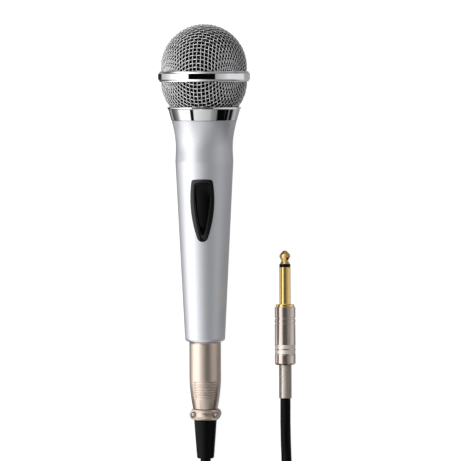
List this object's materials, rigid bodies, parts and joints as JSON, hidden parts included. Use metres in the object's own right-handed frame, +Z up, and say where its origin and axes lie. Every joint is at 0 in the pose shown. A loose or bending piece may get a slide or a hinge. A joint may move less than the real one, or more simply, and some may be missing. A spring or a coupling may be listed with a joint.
{
  "type": "karaoke microphone",
  "caption": "Handheld karaoke microphone with a round wire head, tapered silver handle, thumb switch, and a detachable cord ending in a phone plug.",
  "frame": {"origin": "on the surface that the microphone lies on, midway along it and across it, measured without its cord", "axes": "+Y towards the wire head, +Z up and out of the side that the switch is on, +X towards the phone plug"},
  "size_m": [0.1088, 0.3757, 0.0517],
  "materials": {
    "wire_mesh": "woven steel wire, bright plated",
    "chrome_trim": "polished chrome plate",
    "foam": "open-cell foam",
    "inner_plastic": "moulded",
    "clear_film": "thin formed film",
    "copper_wire": "wound copper wire",
    "plain_steel": "plain plated steel",
    "soft_rubber": "soft rubber",
    "lead_sheath": "thin insulated wire",
    "silver_paint": "satin metallic silver paint",
    "gloss_black": "gloss black moulding",
    "slider_black": "gloss black with a finely textured thumb rest",
    "satin_nickel": "satin champagne nickel",
    "gold_plate": "polished gold plate",
    "spring_steel": "bright wound spring wire",
    "boot_rubber": "moulded rubber",
    "cord_jacket": "flexible jacket, semi-matt",
    "tie_cloth": "hook-and-loop tape",
    "jack_ring": "moulded insulating ring",
    "bright_nickel": "bright nickel plate"
  },
  "bodies": {
    "mic_body": {"grille_upper": "wire_mesh", "grille_lower": "wire_mesh", "grille_band": "chrome_trim", "grille_collar": "chrome_trim", "foam_upper": "foam", "foam_lower": "foam", "capsule_cup": "inner_plastic", "capsule_cover": "inner_plastic", "diaphragm": "clear_film", "voice_coil": "copper_wire", "pole_cap": "plain_steel", "magnet": "plain_steel", "magnet_yoke": "plain_steel", "shock_mount": "soft_rubber", "capsule_leads": "lead_sheath", "handle": "silver_paint", "switch_bezel": "gloss_black", "switch_can": "plain_steel", "switch_base": "inner_plastic", "switch_terminals": "gold_plate", "switch_screws": "plain_steel", "socket_insert": "inner_plastic", "socket_pins": "plain_steel", "socket_screw": "plain_steel", "socket_leads": "lead_sheath"},
    "thumb_switch": {"thumb_slider": "slider_black", "switch_actuator": "inner_plastic"},
    "cord_set": {"plug_shell": "satin_nickel", "plug_insert": "inner_plastic", "plug_contacts": "gold_plate", "plug_insert_screw": "satin_nickel", "latch_spring": "spring_steel", "clamp_saddle": "satin_nickel", "clamp_screws": "satin_nickel", "cable_boot": "boot_rubber", "cord_mic_end": "cord_jacket", "cord_coil": "cord_jacket", "cord_plug_end": "cord_jacket", "cord_tie": "tie_cloth", "jack_tip": "gold_plate", "jack_insulator": "jack_ring", "jack_sleeve": "gold_plate", "jack_barrel": "bright_nickel", "jack_spring": "spring_steel", "jack_liner": "inner_plastic", "jack_lug": "gold_plate"},
    "latch": {"latch_button": "satin_nickel"}
  },
  "joints": [
    {"name": "switch_slide", "type": "slide", "parent": "mic_body", "child": "thumb_switch", "axis": [0.0039, -0.9891, -0.1473], "range_m": [0, 0.0025]},
    {"name": "connector_pull", "type": "slide", "parent": "mic_body", "child": "cord_set", "axis": [0, -0.9952, -0.0978], "range_m": [0, 0.02]},
    {"name": "latch_press", "type": "slide", "parent": "cord_set", "child": "latch", "axis": [-0.0785, -0.0975, 0.9921], "range_m": [0, 0.001], "stiffness_N_per_m": 1200, "springref_m": -0.0006, "deforming": ["latch_spring"]}
  ]
}
